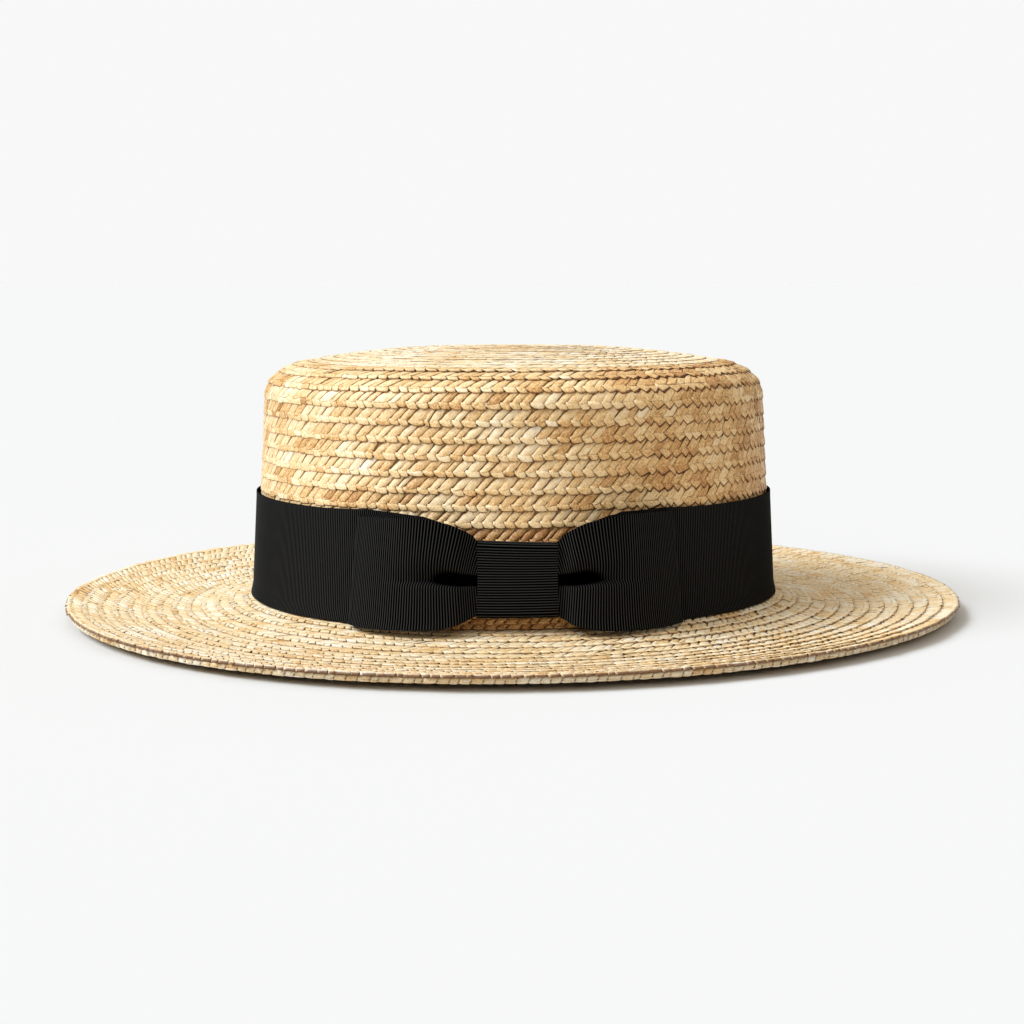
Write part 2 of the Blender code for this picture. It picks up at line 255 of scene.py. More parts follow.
# The crown's plait, outside and inside. Each straw crosses the braid and turns back at its edge, so
# a row shows long leaves that lean one way along its upper part, and short ones that lean back at
# its lower edge. One leaf is shaped and laid along every row, each copy a little different.
PLAIT_STEP = 0.00405  # width of a straw along its row
PLAIN_STEP = 0.0050  # the same for the coarser leaves of the sides that are seldom seen
LEAF_RISE = 0.00036  # how high a leaf stands at its middle
LEAF_RIM = -0.00012
LEAF_OVERLAP = 1.04  # width of a leaf, as a share of its room
LAP_FOLD = 0.00055  # how far a row's lower edge folds down over the next row
LEAF_TURN = 0.69  # how far down a row the straws turn back, as a share of the row
LEAF_SKIRT = 0.035  # how far the folded edge spreads at its foot, as a share of the row
FLAT_SHIFT = 0.09  # how far a flat leaf moves up its row, as a share of the row
FLAT_TOOTH = 0.185  # how far the foot of a flat short leaf slopes, as a share of the row
ROW_DRIFT = 0.00023  # how far a row wanders up and down
ANY_TURN = 6.28
LONG_LEAF = {"top": -0.15, "foot": 0.74, "lean": -0.88, "round_top": 0.48, "round_foot": 0.34}
SHORT_LEAF = {"top": 0.58, "foot": 1.02, "lean": 0.58, "round_top": 0.20, "round_foot": 0.56}
LINE_SIDE = 0.74  # where the lines of a leaf's grid lie between its middle and its rim
LINE_TOP = 0.76
LINE_FOOT = -0.88
SHORT_LEVELS = (-1, LINE_FOOT, -0.80, 0.25, 1)  # the levels of a short leaf, closer at its foot
TONE_PATCH = 0.10  # how much broad patches, near straws and flat leaves change the tone
TONE_NEAR = 0.06
# Flat leaves are set darker by the next share, as painted shade on the shaded side from the bow round to
# the +X end.
TONE_FLAT = 0.15
ODD_STRAWS = 0.04  # share of straws that are much darker, and of those that are much lighter
ODD_TONES = (-0.20, 0.14)
UNEVEN = {
    "place": 0.14, "rise": 0.20, "lean": 0.10, "corner": 0.25, "length": 0.025, "foot": 0.03,
    "height": 0.10, "tilt": 0.00007, "nod": 0.00005, "tone": 0.075, "gap": 0.3,
}


def one_leaf(cuts):
    """Places across (x) and up (y) one leaf from -1 to 1, its top faces, and its rim for the back."""
    select_none()
    bpy.ops.mesh.primitive_grid_add(x_subdivisions=cuts, y_subdivisions=cuts, size=2)
    grid = bpy.context.object
    places = np.array([point.co[:2] for point in grid.data.vertices])
    faces = [list(face.vertices) for face in grid.data.polygons]
    bpy.data.objects.remove(grid)
    rim = [i for i, (x, y) in enumerate(places) if max(abs(x), abs(y)) > 0.999]
    rim.sort(key=lambda i: -math.atan2(places[i][1], places[i][0]))
    side = np.sign(places[:, 0]) * LINE_SIDE
    level = np.where(places[:, 1] > 0, LINE_TOP, LINE_FOOT)
    halfway = np.isclose(np.abs(places), 0.5)
    places = np.where(halfway, np.stack([side, level], -1), places)
    return places, faces, rim


fine_leaf = one_leaf(4)
plain_leaf = one_leaf(2)


def joined_leaves(name, shape, points, tone, painted_shade, grain):
    """One mesh of many leaves, from arrays with a row for each leaf."""
    count, corners = points.shape[:2]
    faces = shape[1] + [shape[2]]
    totals = np.tile([len(face) for face in faces], count)
    first_points = np.arange(count)[:, None] * corners
    corner_points = (np.concatenate(faces)[None, :] + first_points).ravel()
    mesh = bpy.data.meshes.new(name)
    mesh.vertices.add(count * corners)
    mesh.vertices.foreach_set("co", points.astype(np.float32).ravel())
    mesh.loops.add(len(corner_points))
    mesh.loops.foreach_set("vertex_index", corner_points.astype(np.int32))
    mesh.polygons.add(len(totals))
    face_starts = np.concatenate([[0], np.cumsum(totals)[:-1]])
    mesh.polygons.foreach_set("loop_start", face_starts.astype(np.int32))
    mesh.update(calc_edges=True)
    mesh.polygons.foreach_set("use_smooth", np.tile([True] * len(shape[1]) + [False], count))
    for key, values in (("straw_tone", tone), ("straw_painted_shade", painted_shade)):
        layer = mesh.attributes.new(key, "FLOAT", "POINT")
        layer.data.foreach_set("value", values.ravel().astype(np.float32))
    grain_map = mesh.uv_layers.new(name="grain")
    grain_map.data.foreach_set("uv", grain.reshape(-1, 2)[corner_points].astype(np.float32).ravel())
    mesh.validate()
    mesh.update()
    piece = bpy.data.objects.new(name, mesh)
    bpy.context.scene.collection.objects.link(piece)
    return piece


def run_along(line):
    """Distance along a line of points from its first one."""
    return np.concatenate([[0.0], np.cumsum(np.linalg.norm(np.diff(line, axis=0), axis=1))])


def drift(angle, draw):
    """Slow wave of a row up and down its face."""
    wave = 0 * angle
    for turns in (2, 5, 11, 23):
        phase = draw.uniform(0, ANY_TURN)
        size = draw.uniform(0.3, 1.0)
        wave = wave + np.sin(turns * angle + phase) * size / turns ** 0.4
    return wave * ROW_DRIFT


def patches(angle, draw):
    """Slow change of tone round a row."""
    broad = draw.uniform(0, ANY_TURN, 4)
    return sum(np.sin(turns * angle + broad[k]) for k, turns in enumerate((3, 8, 15, 27))) / 2.4


def spaced(girth, step, draw):
    """Middle and half width of the straws of a row, a little unevenly spaced."""
    count = max(8, round(girth / step))
    room = girth / count
    starts = (np.arange(count) + draw.uniform(0, 1) + draw.normal(0, UNEVEN["place"], count)) * room
    ends = np.append(starts[1:], starts[0] + girth)
    return (starts + ends) / 2, (ends - starts) / 2 * LEAF_OVERLAP


# Each leaf carries painted shade in a point attribute: darker in the gaps at its sides, at the top of the
# long leaves under the lap above, and along the folded edge of each lap. The lap's third share also
# darkens that edge line.
def lay_plait(
        name, face, starts, seed,
        flat=None,  # how flat and toothed the leaves lie at an angle
        only=None,  # which leaves are laid, by their angle and row
        # The next argument picks the end of the long leaves where the painted shade at their sides is
        # strongest.
        shaded_end="foot",  # the end of the long leaves that has dark gaps at its sides
        pressed=0.0,  # how far the leaves are pressed down, or a rule for it by angle
        tone_at=0.5,  # middle of the straws' tones, 0 dark to 1 light
        lap=(ROW_LIP, LAP_FOLD, 0.0),  # lip, fold, and how much of it the line above the edge takes
        slant=1.0,  # share of the full lean of the leaves
        step=PLAIT_STEP,
        shape=fine_leaf,
        lowest=None,  # no point lies below this height
        # The last argument sets how much of the full painted shade in the gaps and laps is kept.
        shade_share=1.0):  # share of the full darkness of the gaps
    """Plait of straw leaves laid along the rows with these starts."""
    draw = np.random.default_rng(seed)
    angles = np.linspace(-math.pi, math.pi, 721)
    stacks = {"points": [], "tone": [], "painted_shade": [], "grain": []}
    for index, (start, end) in enumerate(zip(starts, starts[1:])):
        pitch = end - start
        ring = on_face(face, angles, np.full_like(angles, (start + end) / 2), 0 * angles)
        length = run_along(ring)
        girth = length[-1]
        unit, half = spaced(girth, step, draw)
        count = len(unit)
        middle = np.interp(unit % girth, length, angles)
        patch = patches(middle, draw)
        near = np.repeat(draw.normal(0, 1, count // 3 + 1), 3)[:count]
        rise = 1 + draw.normal(0, UNEVEN["rise"], count)
        sway = 1 + draw.normal(0, UNEVEN["lean"], count)
        wave = draw.integers(1 << 30)
        lay_flat = np.zeros(count) if flat is None else flat(middle)
        press = pressed(middle) if callable(pressed) else np.full(count, pressed)
        keep = np.ones(count, bool) if only is None else only(middle, index)
        kept = int(keep.sum())
        if kept == 0:
            continue
        for leaf in (LONG_LEAF, SHORT_LEAF):
            long_one = leaf is LONG_LEAF
            x = shape[0][:, 0][None, :]
            y = shape[0][:, 1][None, :]
            if shape is fine_leaf and not long_one:
                y = np.interp(y, (-1, LINE_FOOT, 0, LINE_TOP, 1), SHORT_LEVELS)
            down = (1 - y) / 2
            at_foot = y < -0.99
            near_foot = y < -0.85

            def each(values):
                return values[keep][:, None]

            def vary(key):
                return draw.normal(0, UNEVEN[key], (kept, 1))

            flatness = each(lay_flat)
            push = each(press)
            lip = lap[0] * (1 - 0.5 * push)
            fold = lap[1] * (1 - 0.4 * push)
            corner = np.where(y > 0, leaf["round_top"], leaf["round_foot"] * (1 - 0.85 * flatness))
            corner = np.clip(corner * (1 - 0.70 * push) * (1 + vary("corner")), 0, 0.9)
            across = x * np.sqrt(1 - corner * y * y)
            up = y * np.sqrt(1 - 0.8 * corner * x * x)
            place = leaf["top"] + (leaf["foot"] - leaf["top"]) * (1 - up) / 2
            if long_one:
                place = place + (vary("length") - FLAT_SHIFT * flatness) * (1 - up) / 2
                place = place - 0.20 * flatness * (1 + up) / 2
                lean_more = 0.05
                spread = 1
            else:
                place = place + down ** 2 * (vary("foot") - flatness * (0.02 + FLAT_TOOTH * across))
                place = place + LEAF_SKIRT * (1 + 1.3 * flatness) * at_foot
                place = place - FLAT_SHIFT * flatness * (1 - down)
                lean_more = 0.55
                spread = 1 + 0.10 * push
            lean = slant * leaf["lean"] * (1 + lean_more * flatness) * each(sway)
            along = each(unit) + across * each(half) * spread
            along = along + lean * (place - LEAF_TURN + FLAT_SHIFT * flatness) * pitch
            angle = np.interp(along % girth, length, angles)
            run = start + place * pitch + drift(angle, np.random.default_rng(wave))
            if long_one:
                pillow = 1 - (1 - 0.75 * flatness) * np.abs(x) ** 5
                pillow = pillow * np.where(y > 0, 1 - 0.95 * y ** 4, 1 - 0.25 * y * y)
            else:
                pillow = 1 - 0.6 * np.abs(x) ** 5
                pillow = pillow * np.where(y > 0, 1 - 0.45 * y * y, 1 - 0.50 * y ** 4)
            height = LEAF_RISE * each(rise) * (1 + vary("height"))
            height = height * (1 - 0.5 * flatness) * (1 - 0.6 * push)
            out = lip * np.clip(place, -0.4, 1.05) + LEAF_RIM + (height - LEAF_RIM) * pillow
            out = out + across * vary("tilt") + up * vary("nod")
            open_side = ((x < -0.99) & (y < -0.7)) * 1.0
            if not long_one:
                edge_fold = np.where(at_foot, 1.0, lap[2] * near_foot)
                out = out - 0.00003 - fold * np.maximum(edge_fold, 0.8 * flatness * open_side)
            points = on_face(face, angle, run, out)
            if lowest is not None:
                points[..., 2] = np.maximum(points[..., 2], lowest)
            stacks["points"].append(points)
            tone = tone_at + TONE_PATCH * each(patch) + TONE_NEAR * each(near) + vary("tone")
            # Flat leaves darker, as painted shade on the shaded side.
            tone = tone - TONE_FLAT * flatness
            for odd_tone in ODD_TONES:
                odd = draw.uniform(0, 1, (kept, 1)) < ODD_STRAWS
                tone = np.where(odd, tone + odd_tone, tone)
            stacks["tone"].append(np.clip(tone + 0.04 * y + 0 * x, 0.02, 0.98))
            # Painted shade in the gaps at the sides of the leaves.
            if shaded_end == "top":
                side = 0.20 + 0.60 * (1 - down) ** 1.5 if long_one else 0.20 + 0 * down
            else:
                side = 0.30 + 0.65 * down ** 3 if long_one else 0.10 + 0.60 * (1 - down) ** 1.5
                side = side * (1 - 0.92 * flatness)
            dark = np.abs(x) ** 8 * side * (1 + vary("gap")) * (1 - 0.85 * push)
            # Painted shade under the laps: at the top of the long leaves and along the short leaves'
            # folded edge.
            if long_one:
                lap_shade = (0.50 - 0.30 * flatness) * np.clip((0.06 - place) / 0.12, 0, 1)
            else:
                lap_line_shade = 0.45 + 0.55 * np.maximum(flatness, lap[2] * 2)
                lap_shade = np.where(at_foot, 1.0, lap_line_shade * near_foot)
                lap_shade = np.maximum(lap_shade, flatness * open_side)
            dark = np.maximum(dark, lap_shade * (1 - 0.25 * push)) * (shade_share + (1 - shade_share) * flatness)
            stacks["painted_shade"].append(np.clip(dark + 0 * tone, 0, 1))
            offset = draw.uniform(0, 400, (kept, 2))
            grain = np.stack([up * 2.5 + offset[:, :1], across * 1.6 + offset[:, 1:]], -1)
            stacks["grain"].append(grain)
    piece = joined_leaves(name, shape, *(np.concatenate(parts) for parts in stacks.values()))
    piece.data.materials.append(leaf_straw)
    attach(piece, "root")
    return piece


STRAW_TONES = (
    (0.00, (0.40, 0.170, 0.045)),
    (0.22, (0.67, 0.375, 0.125)),
    (0.50, (0.87, 0.620, 0.310)),
    (0.75, (0.93, 0.760, 0.500)),
    (1.00, (0.97, 0.900, 0.75)),
)


def leaf_finish(name, gap_shade_colour):
    """Split straw: each leaf has its own tone, fine grain along it, painted shade in its gaps and laps,
    and a waxy skin.
    """
    finish = bpy.data.materials.new(name)
    finish.use_nodes = True
    nodes, links = finish.node_tree.nodes, finish.node_tree.links
    skin = nodes["Principled BSDF"]
    skin.inputs["Roughness"].default_value = 0.38
    skin.inputs["Specular IOR Level"].default_value = 0.60
    tone = nodes.new("ShaderNodeAttribute")
    tone.attribute_name = "straw_tone"
    grain_map = nodes.new("ShaderNodeUVMap")
    grain_map.uv_map = "grain"
    stretch = nodes.new("ShaderNodeMapping")
    stretch.inputs["Scale"].default_value = (0.45, 4.5, 1.0)
    links.new(grain_map.outputs["UV"], stretch.inputs["Vector"])
    grain = nodes.new("ShaderNodeTexNoise")
    grain.inputs["Scale"].default_value = 1.0
    grain.inputs["Detail"].default_value = 3.0
    links.new(stretch.outputs["Vector"], grain.inputs["Vector"])
    spread = nodes.new("ShaderNodeMath")
    spread.operation = "MULTIPLY_ADD"
    spread.inputs[1].default_value = 1.10
    links.new(grain.outputs["Fac"], spread.inputs[0])
    links.new(tone.outputs["Fac"], spread.inputs[2])
    where = nodes.new("ShaderNodeTexCoord")
    mottle = nodes.new("ShaderNodeTexNoise")
    mottle.inputs["Scale"].default_value = 1300.0
    mottle.inputs["Detail"].default_value = 4.0
    mottle.inputs["Roughness"].default_value = 0.7
    links.new(where.outputs["Object"], mottle.inputs["Vector"])
    total = nodes.new("ShaderNodeMath")
    total.operation = "MULTIPLY_ADD"
    total.inputs[1].default_value = 1.30
    links.new(mottle.outputs["Fac"], total.inputs[0])
    links.new(spread.outputs[0], total.inputs[2])
    even_out = nodes.new("ShaderNodeMath")
    even_out.operation = "SUBTRACT"
    even_out.inputs[1].default_value = 1.20
    links.new(total.outputs[0], even_out.inputs[0])
    colours = ramp(nodes, STRAW_TONES)
    links.new(even_out.outputs[0], colours.inputs["Fac"])
    # Painted shade from the leaves' attribute darkens the gaps and laps.
    painted_shade = nodes.new("ShaderNodeAttribute")
    painted_shade.attribute_name = "straw_painted_shade"
    gap_shade = nodes.new("ShaderNodeMix")
    gap_shade.data_type = "RGBA"
    gap_shade.blend_type = "MULTIPLY"
    gap_shade.inputs["B"].default_value = (*gap_shade_colour, 1)
    links.new(painted_shade.outputs["Fac"], gap_shade.inputs["Factor"])
    links.new(colours.outputs["Color"], gap_shade.inputs["A"])
    links.new(gap_shade.outputs["Result"], skin.inputs["Base Color"])
    bump = nodes.new("ShaderNodeBump")
    bump.inputs["Strength"].default_value = 0.45
    bump.inputs["Distance"].default_value = 0.0003
    links.new(total.outputs[0], bump.inputs["Height"])
    links.new(bump.outputs["Normal"], skin.inputs["Normal"])
    return finish


# The second colour is the tint of the painted shade in the gaps and under the laps.
leaf_straw = leaf_finish("leaf_straw", (0.17, 0.062, 0.016))
BOW_SIDE = -math.pi / 2
BEHIND_BOW = 0.36  # how far to each side of the bow the plait goes on under the ribbon, as an angle
NARROW_ROW = 0.0018
INSIDE_START = 0.0003
RIBBON_WIDTH = 0.040
BAND_CLEARANCE = 0.0007
RIBBON_FOOT = SEAT_HEIGHT + BAND_CLEARANCE
RIBBON_TOP = RIBBON_FOOT + RIBBON_WIDTH


def flat_side(angle):
    """The plait lies flatter, with a toothed edge, from the bow round to the +X end."""
    begins = smooth((angle - math.radians(-84)) / math.radians(26))
    return begins * smooth((math.radians(60) - angle) / 0.6)


def pressed_side(angle):
    """The plait is pressed flatter away from the front, round to the -X end and the back."""
    away = smooth((np.abs(angle + math.radians(80)) - math.radians(28)) / 0.7)
    return 0.15 + 0.80 * away * (1 - flat_side(angle))


# The tip's straws are set lighter than the sides', as painted light on the top.
lay_plait("tip_plait", crown_face, tip_rows, 11, pressed=1.15, tone_at=0.75, shade_share=0.7)
band_run = np.interp(-RIBBON_TOP, -crown_face["z"][TIP_POINTS:], crown_face["run"][TIP_POINTS:])
shown = sum(start < band_run for start in side_rows)
lay_plait(
    "side_plait", crown_face, side_rows[:shown + 1], 23, flat=flat_side, pressed=pressed_side,
    tone_at=0.47, shade_share=0.7)
narrow_rows = row_starts(side_rows[-2], side_rows[-1], NARROW_ROW)
# The rows behind the bow are set very dark, as painted shade under the knot and loops.
lay_plait(
    "plait_behind_bow", crown_face, side_rows[shown:-2] + narrow_rows, 31, tone_at=0.10,
    only=lambda angle, index: abs(angle - BOW_SIDE) < BEHIND_BOW)
inner_radii = crown_face["r"] - STRAW_WALL * crown_face["nr"]
inner_heights = crown_face["z"] - STRAW_WALL * crown_face["nz"]
inner_face = turned_face(inner_radii[::-1], inner_heights[::-1])
inner_rows = row_starts(INSIDE_START, inner_face["run"][-1], WALL_ROW)
lay_plait(
    "inner_plait", inner_face, inner_rows, 37, pressed=0.9, tone_at=0.45, step=PLAIN_STEP,
    shape=plain_leaf)


# The brim. The same plait goes on outwards from the crown's foot in lapped rows, pressed almost
# flat, with its inner and outer edges a few millimetres up. Its wall is drawn out ring by ring, and
# carries leaves on top and, in a coarser kind, below.
BRIM_WIDTH = 0.0717
BRIM_ROW = 0.0056
BRIM_STEP = 0.0036  # the straws lie closer together round the brim
BRIM_TONE = 0.68
BRIM_STEP_HEIGHT = 0.4  # height of the wall's steps, as a share of a row's lip
UNDER_LOWEST = 0.0004  # height of the wall's underside at the hat's foot
LEAVES_LOWEST = 0.0001
RIM_OVERHANG = 0.0006  # how far the last row reaches past the wall
EDGE_ROW_WIDTH = 0.0065
BRIM_SECTION = (
    {"out": 0.00, "rise": 1.00},
    {"out": 0.16, "rise": 0.45},
    {"out": 0.34, "rise": 0.00},
    {"out": 0.46, "rise": 0.00},
    {"out": 0.64, "rise": 0.14},
    {"out": 0.82, "rise": 0.48},
    {"out": 1.00, "rise": 1.00},
)


def brim_height(out):
    """Height of the brim's underside at a distance out from the crown."""
    outs = [row["out"] * BRIM_WIDTH for row in BRIM_SECTION]
    return np.interp(out, outs, [row["rise"] * BRIM_LIFT for row in BRIM_SECTION])


brim_out = np.linspace(0, BRIM_WIDTH, 60)
brim_start = HEAD_LENGTH / 2 + STRAW_WALL
brim_face = turned_face(brim_start + brim_out, brim_height(brim_out) + STRAW_WALL)
brim_rows = row_starts(0.0, brim_face["run"][-1], BRIM_ROW)
top_lip = ROW_LIP * BRIM_STEP_HEIGHT
top_rings = lapped_rings(brim_face, stepped_early(brim_rows), -WALL_SINK, lip=top_lip)
under_rings = lapped_rings(brim_face, brim_rows, -STRAW_WALL - ROW_LIP / 2)
under_rings = [(radius, max(UNDER_LOWEST, height)) for radius, height in under_rings]
top_rings[-1] = (top_rings[-1][0] - 0.0004, top_rings[-1][1] - 0.0003)
under_rings[-1] = (under_rings[-1][0] - 0.0006, BRIM_LIFT + 0.0002)
inner_ring = (HEAD_LENGTH / 2, SEAT_HEIGHT - WALL_SINK)
foot_ring = (HEAD_LENGTH / 2, BRIM_LIFT)
brim_rings = [inner_ring] + top_rings + under_rings[::-1] + [foot_ring, inner_ring]
brim_wall = drawn_out("brim_wall", brim_rings)
brim_wall.data.materials.append(wall_painted_shade)
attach(brim_wall, "root")
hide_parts("brim")
split = len(brim_rows) * 3 // 5
rim_row = [brim_rows[-2], brim_rows[-1] + RIM_OVERHANG]


def pressed_brim(angle):
    """The brim's plait is roundest at the +X end and pressed flatter at the -X end and the back."""
    away = smooth((np.abs(angle - BOW_SIDE) - math.radians(25)) / 1.3)
    return 0.50 + 0.15 * away - 0.40 * smooth((math.radians(80) - np.abs(angle)) / 0.6)


for name, rows, seed in (("inner", brim_rows[:split + 1], 41), ("outer", brim_rows[split:-1], 43)):
    lay_plait(
        "brim_plait_" + name, brim_face, rows, seed, shaded_end="top", pressed=pressed_brim,
        tone_at=BRIM_TONE, step=BRIM_STEP, shade_share=0.62)
lay_plait(
    "brim_plait_rim", brim_face, rim_row, 44, shaded_end="top", pressed=0.5, tone_at=BRIM_TONE,
    lap=(ROW_LIP, 0.0012, 0.45), step=BRIM_STEP)
under_out = brim_out[::-1]
under_face = turned_face(brim_start + under_out, brim_height(under_out) - LEAVES_LOWEST)
under_rows = row_starts(EDGE_ROW_WIDTH, under_face["run"][-1], BRIM_ROW)
lay_plait(
    "under_plait", under_face, under_rows, 45, shaded_end="top", pressed=1.0, shape=plain_leaf,
    lap=(ROW_LIP / 2, LAP_FOLD / 2, 0.0), step=PLAIN_STEP, lowest=LEAVES_LOWEST)


# The brim's edge. A second row of the plait is sewn under the brim's last row, a little further
# in, so the edge shows doubled. Its folded side faces outwards like a cord of small lobes.
EDGE_ROW_INSET = 0.0004
CORD_RADIUS = 0.00085
CORD_DROP = 0.0003  # how far the middle of its fold lies under the brim's edge
EDGE_SINK = 0.00015

edge_radius = brim_start + BRIM_WIDTH - EDGE_ROW_INSET - CORD_RADIUS
edge_height = BRIM_LIFT - CORD_DROP
before, last = BRIM_SECTION[-2:]
last_rise = (last["rise"] - before["rise"]) * BRIM_LIFT
edge_slope = math.atan2(last_rise, (last["out"] - before["out"]) * BRIM_WIDTH)
swing = np.linspace(math.radians(95), math.radians(-90) + edge_slope, 12)
edge_radii = list(edge_radius + CORD_RADIUS * np.cos(swing))
edge_heights = list(edge_height + CORD_RADIUS * np.sin(swing))
inwards = np.linspace(0, EDGE_ROW_WIDTH - CORD_RADIUS, 8)[1:]
edge_radii += list(edge_radii[-1] - inwards)
edge_heights += list(edge_heights[-1] - inwards * math.tan(edge_slope))
edge_face = turned_face(edge_radii, edge_heights)
sunk_radii = edge_face["r"] - EDGE_SINK * edge_face["nr"]
sunk_heights = edge_face["z"] - EDGE_SINK * edge_face["nz"]
edge_rings = list(zip(sunk_radii, sunk_heights))
back_rings = [
    (edge_rings[-1][0], edge_rings[-1][1] + 0.0006),
    (edge_radius - 0.0006, edge_height + 0.0002)]
edge_wall = drawn_out("edge_wall", edge_rings + back_rings + edge_rings[:1])
edge_wall.data.materials.append(wall_painted_shade)
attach(edge_wall, "root")
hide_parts("brim_edge_row")
edge_runs = [0.0, CORD_RADIUS * 3.4, edge_face["run"][-1]]
lay_plait(
    "edge_plait", edge_face, edge_runs, 47, pressed=0.25, tone_at=BRIM_TONE, slant=0.6,
    lap=(0.0003, 0.0003, 0.0), step=BRIM_STEP, shade_share=0.45)


# The band. A black ribbed ribbon, 40 mm wide, goes once round the foot of the crown. Behind the
# knot it is drawn together and stands a little off the straw, and its ribs run up and down.
RIB = 0.00084
RIB_DEPTH = 0.00010
RIB_COLUMNS = 4
SELVEDGE = 0.00007  # how far the woven edges stand up
RIBBON_LOOKS = 0.0007  # thickness that is shown, in the room of the full one
RIBBON_THICK = 0.001
BAND_FLARE = 0.0006
FLARE_HEIGHT = 0.0045
BOW_OFFSET = 0.0013
KNOT_WIDTH = 0.0275
KNOT_HEIGHT = 0.027
KNOT_DROP = 0.002
PINCH_MARGIN = 0.0008
PINCH_RUN = 0.0165
LIFT_RUN = 0.011
RIBBON_MIDDLE = RIBBON_FOOT + RIBBON_WIDTH / 2
HALF_KNOT = KNOT_WIDTH / 2
PINCHED_WIDTH = KNOT_HEIGHT - 2 * RIBBON_THICK - 2 * PINCH_MARGIN
UNDER_LAYER = ROW_LIP + GAP + RIBBON_THICK / 2
LAYER = RIBBON_THICK + GAP
BAND_AT_KNOT = UNDER_LAYER + LAYER
BACK_AT_KNOT = BAND_AT_KNOT + LAYER
FRONT_AT_KNOT = BACK_AT_KNOT + LAYER + GAP
KNOT_FRONT = FRONT_AT_KNOT + LAYER


def on_crown(angle, out, height):
    """Points a distance out from the crown's side."""
    return draw_to_oval(wall_radius(height) + out, angle, height)


band_turn = np.linspace(-math.pi, math.pi, 4001)
band_line = on_crown(BOW_SIDE + band_turn, BAND_AT_KNOT, RIBBON_MIDDLE + 0 * band_turn)
band_length = run_along(band_line)
band_girth = band_length[-1]
bow_turn = BOW_OFFSET / wall_radius(RIBBON_MIDDLE)
band_length = band_length - np.interp(bow_turn, band_turn, band_length)


def band_angle(along):
    """Angle at a distance along the band from the bow's middle."""
    return BOW_SIDE + np.interp(along, band_length, band_turn)


# Height of the band's upper edge over the ribbon's middle, left and right of the bow, in mm.
BAND_TOP = {
    -1: (
        (13.2, 8.8), (15.6, 11.2), (17.7, 12.7), (21.4, 14.8), (27.9, 17.3), (34, 19.0), (47, 20.2),
        (56, 20.7), (75, 20)),
    1: (
        (13.2, 8.3), (17.2, 12.0), (22, 14.8), (26.9, 16.8), (34, 19.0), (45, 20.2), (56, 20.6),
        (75, 20)),
}


def ribbon_height(along, level):
    """Height of a line along a ribbon that the knot pinches; level is -1 to 1."""
    share = smooth((np.abs(along) - HALF_KNOT) / PINCH_RUN)
    half = (PINCHED_WIDTH + (RIBBON_WIDTH - PINCHED_WIDTH) * share) / 2
    tops = [np.interp(np.abs(along) * 1000, *zip(*BAND_TOP[side])) / 1000 for side in (-1, 1)]
    top = np.where(along < 0, tops[0], tops[1])
    drop = KNOT_DROP * (1 - share) * (level <= 0)
    return RIBBON_MIDDLE + np.where(level > 0, top * level, level * half) - drop


def lowered(at_knot, along):
    """How far out a layer lies: over the knot's back at the bow's middle, on the crown elsewhere."""
    return at_knot - LAYER * smooth((np.abs(along) - HALF_KNOT - GAP) / LIFT_RUN)


def flare(height):
    """How far the ribbon's lower edge opens outwards over the turn into the brim."""
    return BAND_FLARE * smooth((RIBBON_FOOT + FLARE_HEIGHT - height) / FLARE_HEIGHT)


def ribbed_sheet(name, columns, levels, points, closed, crease_shade=None):
    """Ribbon from a grid of points, columns by levels, given its thickness; its grooves, and the crease's
    hollow where given, are marked for painted shade.
    """
    select_none()
    bpy.ops.mesh.primitive_grid_add(x_subdivisions=columns - 1, y_subdivisions=levels - 1, size=2)
    piece = bpy.context.object
    piece.name = piece.data.name = name
    places = np.empty(len(piece.data.vertices) * 3)
    piece.data.vertices.foreach_get("co", places)
    places = places.reshape(-1, 3)
    column = np.rint((places[:, 0] + 1) / 2 * (columns - 1)).astype(int)
    level = np.rint((places[:, 1] + 1) / 2 * (levels - 1)).astype(int)
    piece.data.vertices.foreach_set("co", points[column, level].ravel())
    # The grooves between the ribs are marked for painted shade.
    groove_shade = (1 - np.cos(2 * math.pi * column / RIB_COLUMNS)) / 2
    if crease_shade is not None:
        groove_shade = np.maximum(groove_shade, crease_shade[column, level])
    layer = piece.data.attributes.new("rib_groove_shade", "FLOAT", "POINT")
    layer.data.foreach_set("value", groove_shade.astype(np.float32))
    bpy.ops.object.mode_set(mode="EDIT")
    bpy.ops.mesh.select_all(action="SELECT")
    if closed:
        bpy.ops.mesh.remove_doubles(threshold=1e-6)
        bpy.ops.mesh.select_all(action="SELECT")
    bpy.ops.mesh.normals_make_consistent(inside=False)
    bpy.ops.object.mode_set(mode="OBJECT")
    thick = piece.modifiers.new("ribbon", "SOLIDIFY")
    thick.thickness = RIBBON_LOOKS
    thick.offset = 0.0
    bpy.ops.object.modifier_apply(modifier="ribbon")
    bpy.ops.object.shade_smooth_by_angle(angle=math.radians(50))
    return piece


def rib_wave(columns):
    """How far out each column of a ribbed ribbon lies."""
    return RIB_DEPTH * np.cos(2 * math.pi * np.arange(columns) / RIB_COLUMNS)


def black_ribbon(name, ridge, groove_shade):
    """Black ribbed ribbon, matt, with painted shade darkening it between its ribs."""
    finish = bpy.data.materials.new(name)
    finish.use_nodes = True
    nodes, links = finish.node_tree.nodes, finish.node_tree.links
    skin = nodes["Principled BSDF"]
    skin.inputs["Roughness"].default_value = 0.6
    skin.inputs["Specular IOR Level"].default_value = 0.0
    painted_shade = nodes.new("ShaderNodeAttribute")
    painted_shade.attribute_name = "rib_groove_shade"
    colours = ramp(nodes, ((0.02, ridge), (0.34, groove_shade)))
    links.new(painted_shade.outputs["Fac"], colours.inputs["Fac"])
    links.new(colours.outputs["Color"], skin.inputs["Base Color"])
    return finish


